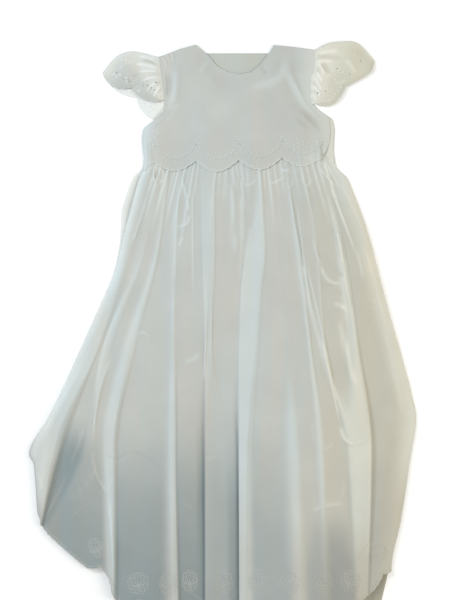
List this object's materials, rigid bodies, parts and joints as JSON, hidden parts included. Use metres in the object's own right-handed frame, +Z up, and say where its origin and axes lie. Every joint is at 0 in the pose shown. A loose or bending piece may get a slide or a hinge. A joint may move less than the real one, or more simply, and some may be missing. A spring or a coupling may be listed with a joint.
{
  "type": "christening gown",
  "caption": "Baby's long white cotton gown laid flat: scalloped bodice border over the waist, gathered eyelet cap sleeves and a long gathered skirt with a scalloped hem.",
  "frame": {"origin": "centre of the laid gown's outline, on the surface that it lies on", "axes": "+X towards the side of sleeve_right, +Y towards the neck, +Z up from the surface, out of the gown's front"},
  "size_m": [0.505, 0.7492, 0.016],
  "materials": {
    "cotton": "smooth thin cotton with a soft sheen",
    "cotton_back": "smooth thin cotton seen on its inside",
    "eyelet": "cotton with eyelet embroidery"
  },
  "bodies": {
    "root": {"skirt_back": "cotton_back", "skirt_front": "cotton", "bodice_back": "cotton_back", "bodice_front": "cotton", "sleeve_left": "eyelet", "sleeve_right": "eyelet"}
  },
  "joints": []
}
